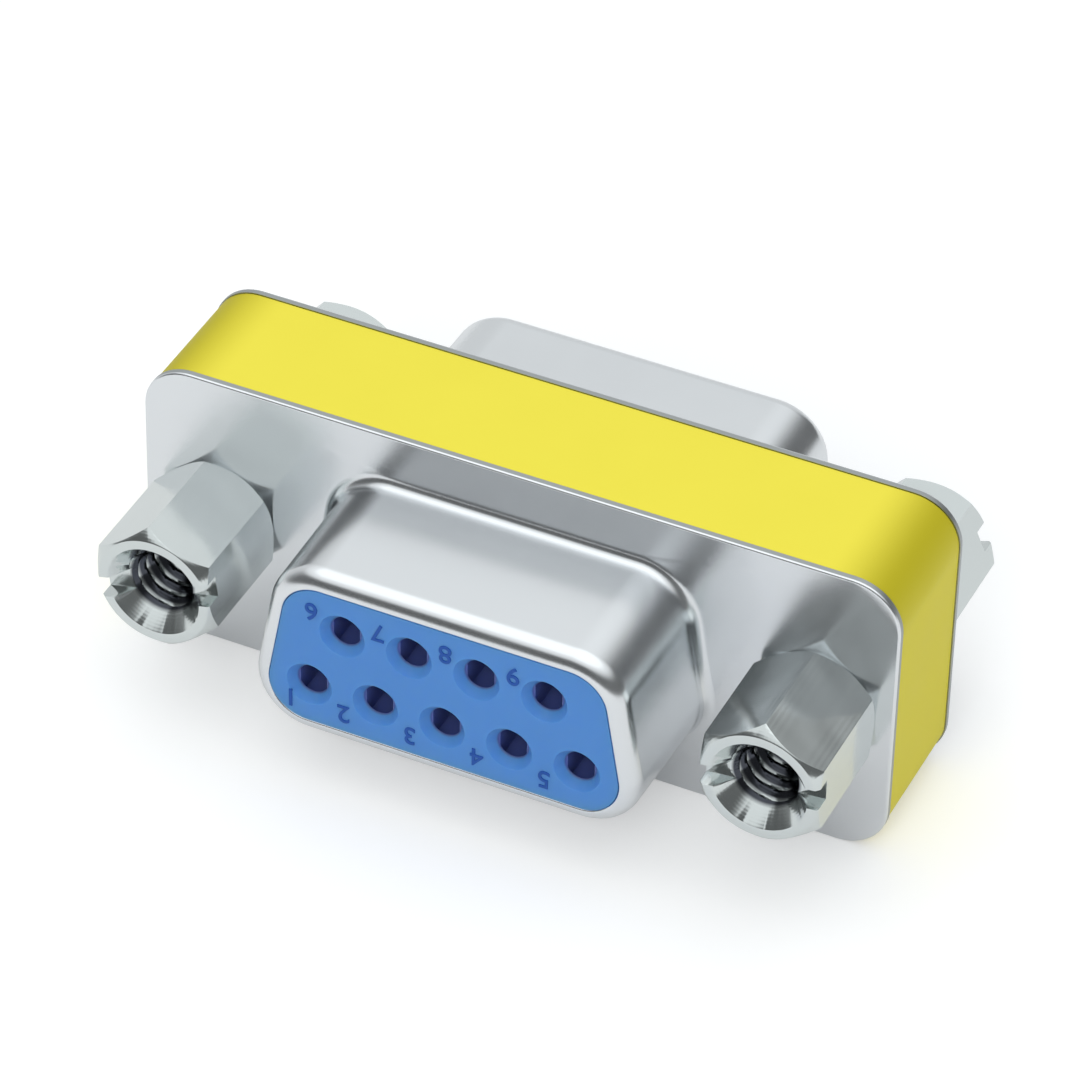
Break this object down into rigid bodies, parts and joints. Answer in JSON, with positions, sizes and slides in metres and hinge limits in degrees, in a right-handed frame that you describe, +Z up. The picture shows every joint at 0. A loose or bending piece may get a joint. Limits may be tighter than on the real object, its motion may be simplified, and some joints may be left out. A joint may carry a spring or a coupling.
{
  "type": "d-sub gender changer",
  "caption": "Slim coupler with a D-shaped socket and tapped jack posts on each side, for joining cable plugs face to face.",
  "frame": {"origin": "middle of the underside, halfway between the front and rear sockets", "axes": "+X along the body, -Y out of the front socket (wide side of the D down), +Z up"},
  "size_m": [0.0312, 0.018, 0.0126],
  "materials": {
    "nickel_shell": "bright nickel plate on drawn steel",
    "nickel_post": "bright nickel plate on turned steel",
    "blue_moulding": "satin moulded",
    "frame_moulding": "moulded",
    "label_film": "satin film",
    "contact_metal": "thin gold flash",
    "sleeve_brass": "turned"
  },
  "bodies": {
    "root": {"front_shell": "nickel_shell", "rear_shell": "nickel_shell", "front_jack_post_left": "nickel_post", "front_jack_post_right": "nickel_post", "rear_jack_post_left": "nickel_post", "rear_jack_post_right": "nickel_post", "front_insulator": "blue_moulding", "rear_insulator": "blue_moulding", "spacer_frame": "frame_moulding", "label_band": "label_film", "contact_1": "contact_metal", "contact_2": "contact_metal", "contact_3": "contact_metal", "contact_4": "contact_metal", "contact_5": "contact_metal", "contact_6": "contact_metal", "contact_7": "contact_metal", "contact_8": "contact_metal", "contact_9": "contact_metal", "threaded_sleeve_left": "sleeve_brass", "threaded_sleeve_right": "sleeve_brass"}
  },
  "joints": []
}
